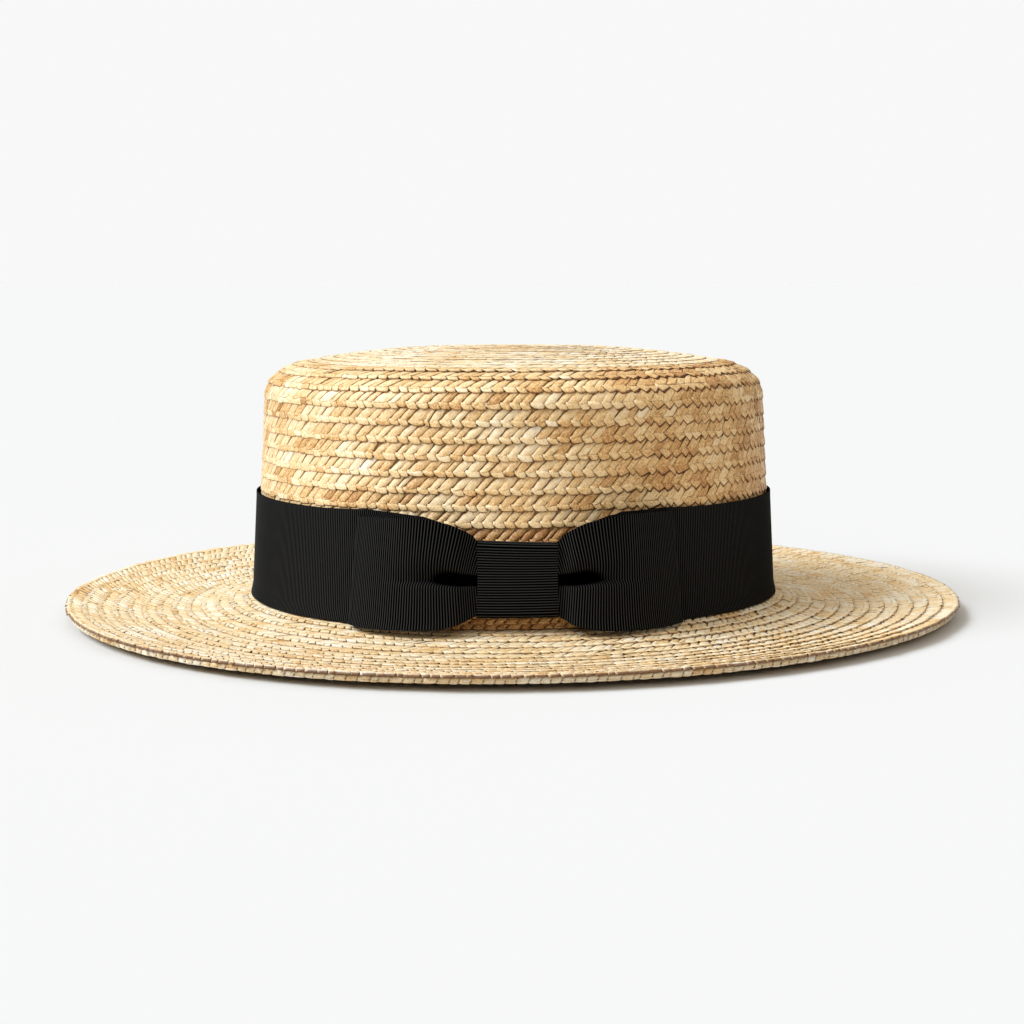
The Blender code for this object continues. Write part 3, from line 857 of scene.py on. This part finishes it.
ribbon_black = black_ribbon("ribbon_black", (0.043, 0.043, 0.0425), (0.0002, 0.0002, 0.0002))
band_ribs = round(band_girth / RIB)
band_columns = band_ribs * RIB_COLUMNS + 1
column_along = np.linspace(0, band_girth, band_columns)
near_bow = np.minimum(column_along, band_girth - column_along)
signed = np.where(column_along > band_girth / 2, column_along - band_girth, column_along)
signed = np.where(signed < band_length[0], signed + band_girth, signed)
column_angle = band_angle(np.where(signed > band_length[-1], signed - band_girth, signed))
column_angle[-1] = column_angle[0]
band_levels = np.array([-1.0, -0.96, -0.9, -0.775, -0.4, 0.0, 0.4, 0.8, 0.9, 0.96, 1.0])
height = ribbon_height(signed[:, None], band_levels[None, :])
edge = SELVEDGE * (np.abs(band_levels) > 0.93)
out = lowered(BAND_AT_KNOT, near_bow[:, None]) + flare(height)
out = out + rib_wave(band_columns)[:, None] + edge
band_points = on_crown(column_angle[:, None] + 0 * height, out, height)
band = ribbed_sheet("band", band_columns, len(band_levels), band_points, True)
band.data.materials.append(ribbon_black)
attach(band, "root")
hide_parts("hat_band")


# The bow's loops. Each is the same ribbon folded back on itself at its end, lying over the band,
# drawn together under the knot, with a crease that runs out from the knot along its middle.
LOOP_REACH = 0.0588
LOOP_BULGE = 0.0070
LOOP_SLANT = 0.0014
LOOP_FOLD_RADIUS = 0.0012
VALLEY_DEPTH = 0.0056
RISE_RUN = 0.006
CREASE_LEVEL = -0.14  # how high up the loop its crease lies, from -1 to 1
FAN_REACH = 0.040  # how far out the ribs fan, and how far they swing above and below the crease
FAN_RUN = 0.022
FAN_UP = 0.0040
FAN_DOWN = 0.0012
BACK_LOWER = 0.0018  # how far the back of a loop hides below its front
LOOP_FRONT = (
    {"along": 0.93, "bulge": 0.42, "valley": 0.0},
    {"along": 0.82, "bulge": 0.72, "valley": 0.0},
    {"along": 0.69, "bulge": 0.94, "valley": 0.05},
    {"along": 0.56, "bulge": 1.0, "valley": 0.30},
    {"along": 0.45, "bulge": 0.94, "valley": 0.70},
    {"along": 0.36, "bulge": 0.78, "valley": 1.0},
    {"along": 0.29, "bulge": 0.46, "valley": 0.8},
)


def smoothed(values, weights):
    """Values smoothed by 13 weights, the ends drawn on."""
    return np.convolve(np.pad(values, 6, mode="edge"), weights, mode="valid")


def loop_line():
    """Middle line of a loop seen from above, in equal columns: along, out and crease."""
    reach = LOOP_REACH - LOOP_FOLD_RADIUS
    back = np.linspace(GAP / 2, reach, 80)
    lines = [np.stack([back, lowered(BACK_AT_KNOT, back), 0 * back], -1)]
    turn = np.linspace(-math.pi / 2, math.pi / 2, 12)[1:-1]
    fold_out = lowered(BACK_AT_KNOT, reach) + LOOP_FOLD_RADIUS
    fold_along = reach + LOOP_FOLD_RADIUS * np.cos(turn)
    lines.append(np.stack([fold_along, fold_out + LOOP_FOLD_RADIUS * np.sin(turn), 0 * turn], -1))
    rows = LOOP_FRONT[::-1]
    front = np.linspace(reach - 0.0006, HALF_KNOT, 70)
    alongs = [row["along"] * LOOP_REACH for row in rows] + [reach]
    bulge = np.interp(front, alongs, [row["bulge"] for row in rows] + [0.17])
    valley = np.interp(front, alongs, [row["valley"] for row in rows] + [0.0])
    weights = np.hanning(13) / np.hanning(13).sum()
    bulge = smoothed(bulge, weights)
    valley = smoothed(valley, weights)
    share = smooth((front - HALF_KNOT) / RISE_RUN)
    raised = lowered(BACK_AT_KNOT, front) + LAYER + bulge * LOOP_BULGE
    out = FRONT_AT_KNOT + (raised - FRONT_AT_KNOT) * share
    lines.append(np.stack([front, out, valley * VALLEY_DEPTH * share], -1))
    inner = np.linspace(HALF_KNOT, GAP / 2, 12)[1:]
    lines.append(np.stack([inner, FRONT_AT_KNOT + 0 * inner, 0 * inner], -1))
    line = np.concatenate(lines)
    return line, run_along(line[:, :2])


loop_levels = np.array([
    -1.0, -0.965, -0.86, -0.70, -0.54, -0.40, -0.30, -0.235, -0.205, -0.185, -0.165, -0.14,
    -0.10, -0.05, 0.01, 0.08, 0.16, 0.26, 0.38, 0.54, 0.72, 0.88, 0.965, 1.0])


def make_loop(name, side, top_edge, foot_edge):
    """Flat loop of the bow; its edges are (along, height over the ribbon's middle) in mm."""
    line, length = loop_line()
    columns = round(length[-1] / RIB) * RIB_COLUMNS + 1
    level = loop_levels[None, :]
    even = np.linspace(0, length[-1], columns)
    along = np.interp(even, length, line[:, 0])
    in_front = even > length[-1] - LOOP_REACH
    over_crease = level > CREASE_LEVEL
    from_crease = level - CREASE_LEVEL
    fan = smooth((FAN_REACH - along) / FAN_RUN) * np.minimum(1, along / HALF_KNOT) * in_front
    fan = fan[:, None] * np.where(over_crease, FAN_UP * from_crease, -FAN_DOWN * from_crease)
    path = np.clip(even[:, None] + fan, 0, length[-1])
    along, out, crease = (np.interp(path, length, line[:, k]) for k in range(3))
    steps = np.linspace(0, LOOP_REACH, 300)
    edges = []
    for rows in (top_edge, foot_edge):
        edge = np.interp(steps * 1000, [row[0] for row in rows], [row[1] for row in rows]) / 1000
        edges.append(np.interp(along, steps, smoothed(edge, np.ones(13) / 13)))
    middle = -KNOT_DROP * (1 - smooth((along - HALF_KNOT) / PINCH_RUN))
    behind = 1 - in_front[:, None]
    upper = edges[0] - BACK_LOWER * smooth((FAN_REACH - along) / 0.008) * behind
    half = np.where(level > 0, upper - middle, middle - edges[1])
    height = RIBBON_MIDDLE + middle + half * level
    fall = np.exp(-(from_crease / np.where(over_crease, 0.25, 0.035)) ** 2)
    away = smooth((along - HALF_KNOT) / (LOOP_REACH - HALF_KNOT))
    edge = SELVEDGE * (np.abs(level) > 0.94)
    out = out - crease * fall + flare(height) + rib_wave(columns)[:, None] + edge
    points = on_crown(band_angle(side * (along - LOOP_SLANT * level * away)), out, height)
    # Painted shade in the hollow of the crease near the knot.
    crease_shade = np.clip(1.7 * smooth((0.034 - along) / 0.014) * fall - 0.4, 0, 1)
    crease_shade = crease_shade * (level > -0.18) * in_front[:, None]
    piece = ribbed_sheet(name, columns, len(loop_levels), points, False, crease_shade)
    piece.data.materials.append(ribbon_black)
    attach(piece, "root")
    return piece


left_loop = make_loop(
    "left_loop", -1,
    ((13.2, 10.7), (14.0, 12.0), (15.6, 13.7), (17.7, 15.3), (21.4, 17.3), (27.9, 19.2), (38, 19.6),
     (47, 19.4), (59, 18.7)),
    ((13.2, -14.5), (15.1, -14.9), (19, -17.1), (25.5, -18.8), (35, -19.3), (50.8, -19.9), (59, -19.7)))
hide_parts("bow_loop_left")
right_loop = make_loop(
    "right_loop", 1,
    ((13.2, 10.5), (14.2, 11.6), (17.2, 14.8), (22, 17.5), (26.9, 18.9), (35.6, 20.2), (45.3, 20.4),
     (59, 20.0)),
    ((13.2, -14.5), (14.2, -15.2), (18.5, -18.0), (26.5, -19.7), (35, -20.3), (44.4, -20.4), (59, -20.2)))
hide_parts("bow_loop_right")


# The knot. A short piece of the ribbon goes round the middle of the bow and behind the band, and
# is sewn at its back, so its ribs lie level across the front.
KNOT_CORNER = 0.0018
KNOT_RIB = 0.00093
KNOT_BULGE = 0.00035  # how far its front stands out, its sides draw in and its top slopes
KNOT_WAIST = 0.0004
KNOT_SLOPE = 0.0005

half_height = (KNOT_HEIGHT - RIBBON_THICK) / 2 - KNOT_CORNER
knot_middle = (UNDER_LAYER + KNOT_FRONT) / 2
half_out = (KNOT_FRONT - UNDER_LAYER) / 2 - KNOT_CORNER
corners = []
for corner, (side, end) in enumerate(((1, 1), (-1, 1), (-1, -1), (1, -1))):
    for turn in np.linspace(corner, corner + 1, 7) * math.pi / 2:
        corner_height = RIBBON_MIDDLE - KNOT_DROP + end * half_height + KNOT_CORNER * math.sin(turn)
        corners.append((knot_middle + side * half_out + KNOT_CORNER * math.cos(turn), corner_height))
section = np.array(corners + corners[:1])
section_run = run_along(section)
knot_columns = round(section_run[-1] / KNOT_RIB) * RIB_COLUMNS + 1
even = np.linspace(0, section_run[-1], knot_columns)
knot_out, knot_height = (np.interp(even, section_run, section[:, k])[:, None] for k in range(2))
knot_levels = np.array([-1.0, -0.94, -0.86, -0.5, 0.0, 0.5, 0.86, 0.94, 1.0])
wave = rib_wave(knot_columns)[:, None]
from_middle_out = (knot_out - knot_middle) / (half_out + KNOT_CORNER)
from_middle_up = (knot_height - RIBBON_MIDDLE + KNOT_DROP) / (half_height + KNOT_CORNER)
facing_out = np.abs(from_middle_out) >= np.abs(from_middle_up)
level = knot_levels[None, :]
bulge = KNOT_BULGE * (1 - np.abs(level) ** 3) * np.clip(from_middle_out, 0, 1)
slope = KNOT_SLOPE * (1 + level) * np.maximum(from_middle_up, 0)
knot_along = level * (HALF_KNOT - KNOT_WAIST * (1 - from_middle_up ** 2))
knot_points = on_crown(
    band_angle(knot_along),
    knot_out + np.where(facing_out, np.sign(from_middle_out) * wave, 0) + bulge,
    knot_height + np.where(facing_out, 0, np.sign(from_middle_up) * wave) - slope)
knot_points[-1] = knot_points[0]
knot = ribbed_sheet("knot", knot_columns, len(knot_levels), knot_points, True)
knot.data.materials.append(ribbon_black)
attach(knot, "root")
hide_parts("bow_knot")


# The studio. A pale matt floor and an even white surround that is brighter high up, with one broad
# lamp at the upper left and two weak ones, in front and behind at the right.
FLOOR_TONE = 0.642
SURROUND_LOW = 0.02
SURROUND_HIGH = 0.80
SURROUND_TONE = 0.94
LAMPS = (
    {
        "name": "key", "energy": 3.6, "spread": 34, "colour": (0.92, 1.0, 1.08),
        "from": (-0.70, -0.17, 0.69)},
    {
        "name": "front", "energy": 0.42, "spread": 80, "colour": (1.0, 0.88, 0.74),
        "from": (-0.20, -0.90, 0.39)},
    {
        "name": "rim", "energy": 0.10, "spread": 90, "colour": (1.0, 1.0, 1.0),
        "from": (0.90, 0.38, 0.22)},
)

select_none()
bpy.ops.mesh.primitive_plane_add(size=80)
floor = bpy.context.object
floor.name = "floor"
paper = bpy.data.materials.new("paper")
paper.use_nodes = True
paper_skin = paper.node_tree.nodes["Principled BSDF"]
paper_skin.inputs["Base Color"].default_value = (FLOOR_TONE, FLOOR_TONE, FLOOR_TONE, 1)
paper_skin.inputs["Roughness"].default_value = 1.0
paper_skin.inputs["Specular IOR Level"].default_value = 0.0
floor.data.materials.append(paper)

studio = bpy.data.worlds.new("studio")
bpy.context.scene.world = studio
studio.use_nodes = True
nodes, links = studio.node_tree.nodes, studio.node_tree.links
towards = nodes.new("ShaderNodeTexCoord")
parts = nodes.new("ShaderNodeSeparateXYZ")
links.new(towards.outputs["Generated"], parts.inputs["Vector"])
height_of = nodes.new("ShaderNodeMapRange")
height_of.interpolation_type = "SMOOTHSTEP"
height_of.inputs["From Min"].default_value = 0.12
height_of.inputs["From Max"].default_value = 0.70
height_of.inputs["To Min"].default_value = SURROUND_LOW
height_of.inputs["To Max"].default_value = SURROUND_HIGH
links.new(parts.outputs["Z"], height_of.inputs["Value"])
seen = nodes.new("ShaderNodeLightPath")
level = nodes.new("ShaderNodeMix")
level.inputs["B"].default_value = SURROUND_TONE
links.new(seen.outputs["Is Camera Ray"], level.inputs["Factor"])
links.new(height_of.outputs["Result"], level.inputs["A"])
links.new(level.outputs["Result"], nodes["Background"].inputs["Strength"])
tint = nodes.new("ShaderNodeMix")
tint.data_type = "RGBA"
tint.inputs["A"].default_value = (1.0, 0.94, 0.84, 1)
tint.inputs["B"].default_value = (1.0, 1.0, 1.0, 1)
links.new(seen.outputs["Is Camera Ray"], tint.inputs["Factor"])
links.new(tint.outputs["Result"], nodes["Background"].inputs["Color"])

for row in LAMPS:
    lamp = bpy.data.lights.new(row["name"], "SUN")
    lamp.energy = row["energy"]
    lamp.angle = math.radians(row["spread"])
    lamp.color = row["colour"]
    light = bpy.data.objects.new(row["name"], lamp)
    light.rotation_euler = Vector(row["from"]).to_track_quat("Z", "Y").to_euler()
    bpy.context.scene.collection.objects.link(light)
bpy.context.scene.view_settings.view_transform = "Standard"


# The camera. It stands in front of the bow, a little above the crown, and looks slightly down.
FOCAL_PIXELS = 1758.5
PICTURE_PIXELS = 1024
SENSOR_WIDTH = 36
CAMERA_PLACE = (-0.00054, -0.6895, 0.1274)
CAMERA_DOWN = 0.1318
CAMERA_ROLL = 0.00087

lens = bpy.data.cameras.new("camera")
lens.sensor_width = SENSOR_WIDTH
lens.lens = SENSOR_WIDTH * FOCAL_PIXELS / PICTURE_PIXELS
camera = bpy.data.objects.new("camera", lens)
camera.location = CAMERA_PLACE
camera.rotation_euler = (math.pi / 2 - CAMERA_DOWN, CAMERA_ROLL, 0)
bpy.context.scene.collection.objects.link(camera)
bpy.context.scene.camera = camera
